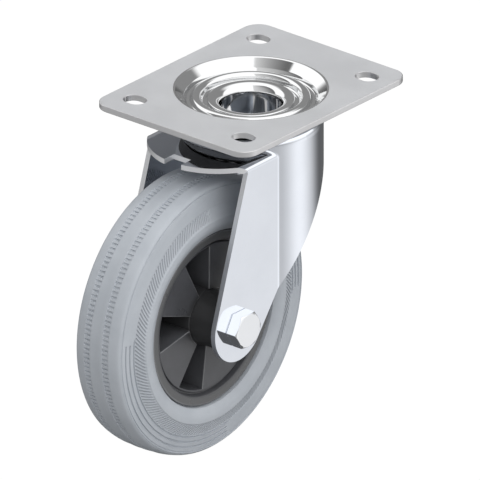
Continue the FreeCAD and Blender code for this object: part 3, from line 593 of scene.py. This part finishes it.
def wheel_centre():
    """Moulded wheel centre: hub, web with pockets from both sides and a rim with a rounded inner lip."""
    hub = [(26.0, 13.5), (26.0, 14.7), (29.8, 14.7), (30.0, 14.9), (30.0, 15.3), (29.8, 15.5), (13.6, 15.68)]
    groove = [(13.2, 15.75), (13.2, 16.0), (13.2, 16.1), (13.35, 16.22), (13.7, 16.35), (13.93, 16.5)]
    web = [(WEB_HALF, radius) for radius in (
        16.8, 17.1, 19, 23, 28, 33, 38, 40.8, 41.4, 41.68, 41.8, 41.84, 41.94, 42.1, 42.3, 42.55)]
    rim = [(13.93, 42.8), (13.8, 42.95), (13.6, 43.05), (12.9, 43.15), (12.75, 43.35), (12.75, 43.9), (12.9, 44.1),
           (14.6, 44.5), (15.6, 44.8), (15.95, 45.0), (16.2, 45.35), (16.3, 45.9), (16.36, 47.5),
           (16.4, 49.3), (16.34, 49.7), (16.1, 50.1), (15.8, 50.38), (12.4, 50.4), (9.9, 47.4)]
    half = hub + groove + web + rim
    rows = half + [(-x, radius) for x, radius in reversed(half)]
    columns = wheel_columns()
    count = len(columns)
    vertices = []
    faces = []
    for x, radius in rows:
        near = x > 0
        first = NEAR_POCKET if near else FAR_POCKET
        open_to_pocket = POCKET_IN - EDGE_ROUND < radius < POCKET_OUT + EDGE_ROUND and abs(x) < WEB_HALF + 0.05
        for degrees, shift in columns:
            turned = degrees + math.degrees(shift / max(radius, HUB_OUT))
            back = pocket_drop(radius, turned, first) if open_to_pocket else 0.0
            place = max(abs(x) - back, WEB_HALF - POCKET_DEPTH) if back > EDGE_ROUND else abs(x) - back
            angle = math.radians(turned)
            vertices.append(((place if near else -place) * MM, (AXLE_Y + radius * math.cos(angle)) * MM,
                             (AXLE_Z + radius * math.sin(angle)) * MM))
    for row in range(len(rows)):
        following = (row + 1) % len(rows)
        for index in range(count):
            after = (index + 1) % count
            faces.append((row * count + index, following * count + index,
                          following * count + after, row * count + after))
    mesh = bpy.data.meshes.new("wheel_centre_shown")
    mesh.from_pydata(vertices, [], faces)
    for face in mesh.polygons:
        depths = [abs(vertices[corner][0]) / MM for corner in face.vertices]
        radius = math.hypot(face.center.y / MM - AXLE_Y, face.center.z / MM - AXLE_Z)
        # Painted highlight: the pockets' edge roundings and the rim's outer rounding get the pale plastic
        on_edge = HUB_OUT < radius < POCKET_OUT and min(depths) > 13.3 and max(depths) - min(depths) > 0.01
        if on_edge or 49.35 < radius < 50.0:
            face.material_index = 1
    mesh.shade_smooth()
    mesh.set_sharp_from_angle(angle=math.radians(38.0))
    mesh.materials.append(wheel_plastic.material)
    mesh.materials.append(edge_highlight_plastic.material)
    add_piece("wheel_centre_shown", mesh, "wheel", "wheel_centre")


# The tyre

SIDE_TOP = 76.9
TICKS = 180
# Columns of one tick or hatch line: their shares of its pitch, and how deep each lies
COLUMNS = 5
SEGMENTS = COLUMNS * TICKS
TICK_SHARES = (0.0, 0.07, 0.38, 0.45, 0.72)
TICK_DEPTHS = {"tick": (0.0, 0.75, 0.75, 0.0, 0.0), "tick_end": (0.0, 0.5, 0.5, 0.0, 0.0),
               "tick_wide": (0.0, 0.6, 0.6, 0.6, 0.0)}
HATCH = (60.0, 66.8)
HATCH_SLANT = -0.0152
HATCH_SHARES = (0.0, 0.15, 0.40, 0.55, 0.8)
HATCH_DEPTHS = (0.0, 0.5, 0.5, 0.0, 0.0)
# Painted shade: how many columns of each hatch line get the darker rubber
SHADED_COLUMNS = 3
# Stretches of the side without ring lines or without hatch, in degrees round the wheel
BARE_PLACES = ((62.0, 170.5), (283.0, 352.0))
BARE_MIDDLE = 71.6
BARE_HALF = 4.55
BARE_RISE = 0.12
PLAIN_ARC = (55.0, 94.0)


def side_at(radius):
    """Distance of the tyre's flat side from the middle plane."""
    return TYRE_HALF - 4.4 + (SIDE_TOP - radius) * 0.14


def tyre_rows():
    """Half of the tyre's section as (x, radius, kind), from the rim out to the tread's middle."""
    rows = [(RIM_HALF - 4.0, RIM_RADIUS - 1.0, "plain"), (RIM_HALF - 1.8, RIM_RADIUS - 0.3, "plain"),
            (RIM_HALF - 1.8, RIM_RADIUS + 0.5, "plain"), (RIM_HALF + 0.4, RIM_RADIUS + 0.65, "plain")]
    # Smooth inner band
    band = 8
    for step in range(band + 1):
        share = step / band
        radius = RIM_RADIUS + 0.8 + share * (HATCH[0] - 0.5 - RIM_RADIUS - 0.8)
        bulge = math.sin(math.pi * min(share * 1.15, 1.0) ** 0.8 * 0.5)
        rows.append((RIM_HALF + 1.0 + (TYRE_HALF - 1.3 - RIM_HALF) * bulge - 0.7 * max(0.0, share - 0.55),
                     radius, "plain"))
    # Hatched ring, a little proud of the side
    for share in (0.0, 0.06, 0.3, 0.6, 0.94, 1.0):
        radius = HATCH[0] + share * (HATCH[1] - HATCH[0])
        kind = "hatch" if 0.0 < share < 1.0 else "plain"
        rows.append((side_at(radius) + 1.0 * (1 - share) ** 1.3, radius, kind))
    # Ring lines, of which the outermost runs on past the bare places
    for radius, deep in ((67.5, 0.7), (70.4, 0.7), (73.4, 0.7), (76.4, 0.45)):
        for shift, depth in ((-0.6, 0.0), (-0.32, deep), (0.22, deep), (0.55, -0.15)):
            rows.append((side_at(radius + shift) - depth, radius + shift, "edge" if radius > 76 else "ring"))
        if radius < 74:
            rows.append((side_at(radius + 1.6), radius + 1.6, "plain"))
    # Shoulder
    rows += [(15.5, 77.2, "plain"), (15.15, 77.8, "plain"), (14.6, 78.25, "plain"), (13.7, 78.6, "plain"),
             (12.2, 79.0, "plain"), (10.4, 79.4, "plain"), (8.6, 79.65, "plain")]
    # Ticked band, then the middle of the tread
    rows += [(8.35, 79.5, "tick_end"), (8.2, 79.5, "tick_end"), (7.3, 79.5, "tick_end"), (7.1, 79.5, "tick"),
             (5.6, 79.55, "tick"), (5.3, 79.6, "tick_wide"), (4.5, 79.6, "tick_wide"), (4.25, 79.85, "plain"),
             (2.2, WHEEL_RADIUS, "plain")]
    return rows


def in_bare_place(degrees, radius):
    """Inside one of the plain raised places on the tyre's side, which have round ends."""
    for first, last in BARE_PLACES:
        if first <= degrees <= last:
            return abs(radius - BARE_MIDDLE) < BARE_HALF
        for edge in (first, last):
            arc = math.radians(degrees - edge) * BARE_MIDDLE
            if arc * arc + (radius - BARE_MIDDLE) ** 2 < BARE_HALF * BARE_HALF:
                return True
    return False


def plain_arc(place):
    """On the stretch of the tyre's side, in metres, that has no hatch."""
    along = place.y / MM - AXLE_Y
    degrees = math.degrees(math.atan2(place.z / MM - AXLE_Z, along if place.x > 0 else -along)) % 360.0
    return PLAIN_ARC[0] < degrees < PLAIN_ARC[1]


def tyre():
    """Solid tyre with ticked tread bands, ring lines and a slanted fine hatch on its sides."""
    half = tyre_rows()
    rows = half + [(-x, radius, kind) for x, radius, kind in reversed(half)]
    vertices = []
    faces = []
    pitch = 2 * math.pi / TICKS
    for x, radius, kind in rows:
        sign = 1.0 if x > 0 else -1.0
        slant = HATCH_SLANT * (min(max(radius, HATCH[0]), HATCH[1]) - HATCH[0])
        for index in range(SEGMENTS):
            px, pr = x, radius
            angle = 2 * math.pi * index / SEGMENTS
            number, column = divmod(index, COLUMNS)
            if kind in TICK_DEPTHS:
                angle = pitch * (number + TICK_SHARES[column])
                pr -= TICK_DEPTHS[kind][column]
            elif kind == "hatch":
                angle = pitch * (number + HATCH_SHARES[column])
                px -= sign * HATCH_DEPTHS[column]
            angle += slant * sign
            degrees = math.degrees(angle) % 360.0
            if sign < 0:
                degrees = (180.0 - degrees) % 360.0
            if kind == "hatch" and PLAIN_ARC[0] < degrees < PLAIN_ARC[1]:
                px = x
            if kind == "ring" and in_bare_place(degrees, radius):
                px = sign * (side_at(radius) + BARE_RISE)
            vertices.append((
                px * MM, (AXLE_Y + pr * math.cos(angle)) * MM, (AXLE_Z + pr * math.sin(angle)) * MM))
    count = len(rows)
    for row in range(count):
        following = (row + 1) % count
        for index in range(SEGMENTS):
            after = (index + 1) % SEGMENTS
            faces.append((row * SEGMENTS + index, following * SEGMENTS + index,
                          following * SEGMENTS + after, row * SEGMENTS + after))
    mesh = bpy.data.meshes.new("tyre_shown")
    mesh.from_pydata(vertices, [], faces)
    kinds = [kind for x, radius, kind in rows]
    for number, face in enumerate(mesh.polygons):
        row, index = divmod(number, SEGMENTS)
        hatched = kinds[row] == kinds[(row + 1) % count] == "hatch"
        # Painted shade inside the hatch grooves
        if hatched and index % COLUMNS < SHADED_COLUMNS and not plain_arc(face.center):
            face.material_index = 1
    mesh.shade_smooth()
    mesh.set_sharp_from_angle(angle=math.radians(35.0))
    mesh.materials.append(grey_rubber.material)
    mesh.materials.append(groove_shade_rubber.material)
    add_piece("tyre_shown", mesh, "wheel", "tyre")


fork()
refined("axle_bolt", 0.2, head_base)
refined("lock_nut", 0.2)
wheel_centre()
top_plate()
tyre()


# Studio

def camera():
    """The photograph's parallel view, with the origin right of and above its middle."""
    azimuth = math.radians(AZIMUTH)
    elevation = math.radians(ELEVATION)
    away = Vector((
        math.sin(azimuth) * math.cos(elevation), -math.cos(azimuth) * math.cos(elevation), math.sin(elevation)))
    right = Vector((math.cos(azimuth), math.sin(azimuth), 0.0))
    up = away.cross(right)
    middle = (right * VIEW_RIGHT - up * VIEW_DOWN) * MM
    data = bpy.data.cameras.new("view")
    data.type = "ORTHO"
    data.ortho_scale = PICTURE_SIDE / PIXELS_PER_MM * MM
    data.clip_end = 20.0
    item = bpy.data.objects.new("view", data)
    item.matrix_world = Matrix((right, up, away)).transposed().to_4x4()
    item.location = middle + away * 1.5
    bpy.context.scene.collection.objects.link(item)
    bpy.context.scene.camera = item


def area_lamp(name, place, aim, size, watts):
    """A round soft lamp that doesn't show in the gloss."""
    data = bpy.data.lights.new(name, "AREA")
    data.shape = "DISK"
    data.size = size
    data.energy = watts
    item = bpy.data.objects.new(name, data)
    item.location = place
    item.rotation_euler = (Vector(aim) - Vector(place)).to_track_quat("-Z", "Y").to_euler()
    item.visible_glossy = False
    bpy.context.scene.collection.objects.link(item)


def studio_world():
    """White to the camera, plain soft light on the object, and a studio with soft dark sides in the gloss."""
    world = bpy.data.worlds.new("studio")
    bpy.context.scene.world = world
    world.use_nodes = True
    tree = world.node_tree
    tree.nodes.clear()
    out = tree.nodes.new("ShaderNodeOutputWorld")
    coords = tree.nodes.new("ShaderNodeTexCoord").outputs["Generated"]
    apart = tree.nodes.new("ShaderNodeSeparateXYZ")
    tree.links.new(coords, apart.inputs[0])
    sideways, height = apart.outputs[1], apart.outputs[2]

    def sums(kind, first, second=0.0):
        return sum_node(tree, kind, first, second)

    def between(*numbers):
        return range_node(tree, *numbers)

    angle = sums("ARCTAN2", sideways, apart.outputs[0])

    def facing(degrees):
        return sums("COSINE", sums("SUBTRACT", angle, math.radians(degrees)))

    # Under the horizon: grey all round, dark on one side, with one bright lobe
    lobe = sums("MULTIPLY", sums("POWER", sums("MAXIMUM", facing(33.0), 0.0), 10.0), 0.55)
    lower = sums("ADD", between(facing(128.0), 0.3, 0.8, 0.52, 0.13), lobe)
    lower = between(height, -0.8, -0.55, 0.11, lower)
    dip = between(sums("ABSOLUTE", sums("ADD", height, 0.04)), 0.0, 0.1, 0.75, 1.0)
    lower = sums("MULTIPLY", lower, dip)
    # Over it: white, with a low grey card on the dark side and a tall shaded one behind the camera
    low_card = sums("MULTIPLY", between(facing(115.0), 0.58, 0.72, 0.0, 1.0),
                    between(height, 0.6, 0.84, 1.0, 0.0))
    upper = between(low_card, 0.0, 1.0, 1.25, 0.28, "LINEAR")
    tall_card = sums("MULTIPLY", between(facing(257.0), 0.71, 0.75, 0.0, 1.0),
                     between(sideways, -0.24, -0.2, 1.0, 0.0))
    shade = between(angle, math.radians(-138.0), math.radians(-65.0), 0.17, 0.75, "LINEAR")
    upper = between(tall_card, 0.0, 1.0, upper, shade, "LINEAR")
    gloss = between(height, 0.06, 0.22, lower, upper)
    # Soft light for all that isn't gloss, from above and from the bolt's side
    top_light = between(height, -0.9, 0.9, 0.06, 0.9)
    front = between(sums("MAXIMUM", facing(240.0), 0.0), 0.0, 1.0, 1.0, 0.62)
    top_light = sums("MULTIPLY", top_light, front)
    side_light = sums("MULTIPLY", sums("MAXIMUM", facing(346.0), 0.0), between(height, -0.5, 0.1, 0.25, 0.68))
    light = sums("ADD", top_light, side_light)

    def background(strength):
        node = tree.nodes.new("ShaderNodeBackground")
        node.inputs["Color"].default_value = (1, 1, 1, 1)
        feed(tree.links, node.inputs["Strength"], strength)
        return node.outputs[0]

    def choose(factor, first, second):
        node = tree.nodes.new("ShaderNodeMixShader")
        tree.links.new(factor, node.inputs[0])
        tree.links.new(first, node.inputs[1])
        tree.links.new(second, node.inputs[2])
        return node.outputs[0]

    path = tree.nodes.new("ShaderNodeLightPath")
    seen = choose(path.outputs["Is Glossy Ray"], background(light), background(gloss))
    seen = choose(path.outputs["Is Camera Ray"], seen, background(1.0))
    tree.links.new(seen, out.inputs["Surface"])


def floor():
    """A plain pale floor that keeps a soft shadow and reads white to the camera."""
    mesh = bpy.data.meshes.new("floor")
    reach = 3.0
    level = cad_low.z - 0.0001
    corners = [(x * reach, y * reach, level) for x, y in ((-1, -1), (1, -1), (1, 1), (-1, 1))]
    mesh.from_pydata(corners, [], [(0, 1, 2, 3)])
    item = bpy.data.objects.new("floor", mesh)
    bpy.context.scene.collection.objects.link(item)
    tree = Tree("floor_white")
    tree.value("Base Color", (0.45, 0.45, 0.45, 1.0))
    tree.value("Roughness", 0.9)
    tree.value("Specular IOR Level", 0.0)
    path = tree.nodes.new("ShaderNodeLightPath")
    glow = tree.nodes.new("ShaderNodeEmission")
    glow.inputs["Strength"].default_value = 1.06
    mixed = tree.nodes.new("ShaderNodeMixShader")
    share = tree.sums("MULTIPLY", path.outputs["Is Camera Ray"], 0.94)
    tree.link(share, mixed.inputs[0])
    tree.link(tree.shader.outputs[0], mixed.inputs[1])
    tree.link(glow.outputs[0], mixed.inputs[2])
    tree.link(mixed.outputs[0], tree.nodes["Material Output"].inputs["Surface"])
    mesh.materials.append(tree.material)
    item.visible_glossy = False


bpy.context.scene.view_settings.view_transform = "Standard"
camera()
studio_world()
floor()
area_lamp("overhead", (0.5, -0.5, 1.3), (0, -0.03, -0.1), 1.2, 5.0)
